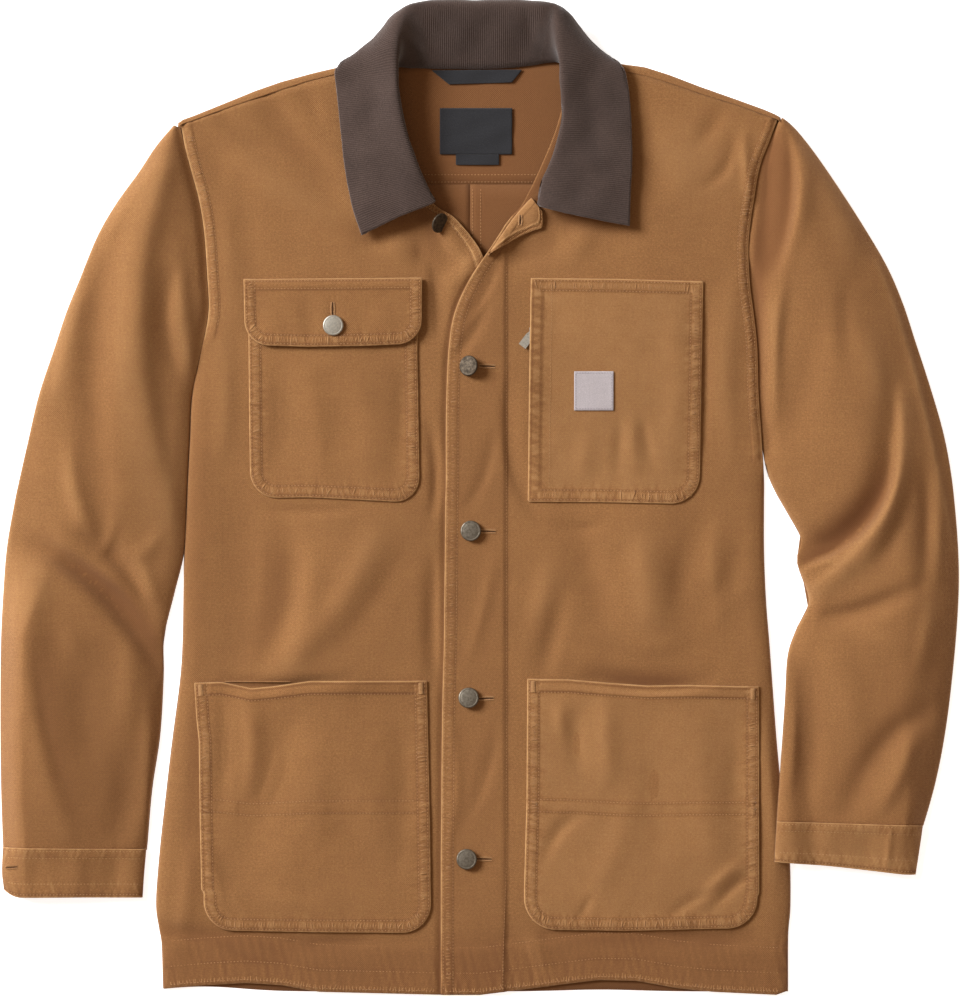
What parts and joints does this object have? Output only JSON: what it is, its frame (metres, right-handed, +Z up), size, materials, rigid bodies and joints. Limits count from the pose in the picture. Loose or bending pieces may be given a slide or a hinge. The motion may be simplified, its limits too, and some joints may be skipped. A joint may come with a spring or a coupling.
{
  "type": "chore jacket laid flat",
  "caption": "Buttoned work jacket laid flat on its back, with a turn-down collar, a flapped chest pocket, a zipped chest pocket, large patch pockets low down and cuffed sleeves.",
  "frame": {"origin": "middle of the bounding box on the surface that the jacket lies on", "axes": "+Z up off the surface, +Y from the hem towards the collar, +X towards the wearer's left sleeve"},
  "size_m": [0.8328, 0.8645, 0.021],
  "materials": {
    "duck": "washed cotton duck canvas, plain weave, tan brown",
    "corduroy": "fine-wale corduroy, dark mushroom brown",
    "antique_metal": "dull antiqued metal",
    "nickel": "satin nickel",
    "black_tape": "black woven tape",
    "woven_patch": "pale woven label, bare"
  },
  "bodies": {
    "jacket": {"back_right": "duck", "back_left": "duck", "back_yoke": "duck", "front_right": "duck", "front_left": "duck", "front_facing": "duck", "sleeve_upper_right": "duck", "sleeve_under_right": "duck", "sleeve_upper_left": "duck", "sleeve_under_left": "duck", "cuff_right": "duck", "cuff_left": "duck", "collar": "corduroy", "chest_pocket_right": "duck", "chest_flap": "duck", "chest_pocket_left": "duck", "lower_pocket_right": "duck", "lower_pocket_left": "duck", "button_1": "antique_metal", "button_2": "antique_metal", "button_3": "antique_metal", "button_4": "antique_metal", "button_5": "antique_metal", "flap_button": "nickel", "zip_tape": "black_tape", "zip_slider": "nickel", "hanger_loop": "black_tape", "neck_label": "black_tape", "size_tab": "black_tape", "patch_label": "woven_patch"},
    "zip_pull_body": {"zip_pull": "nickel"}
  },
  "joints": [
    {"name": "zip_pull_swing", "type": "hinge", "parent": "jacket", "child": "zip_pull_body", "pos_m": [0.0457, 0.1438, 0.00915], "axis": [-0.7915, 0.6112, 0], "range_deg": [0, 12]}
  ]
}
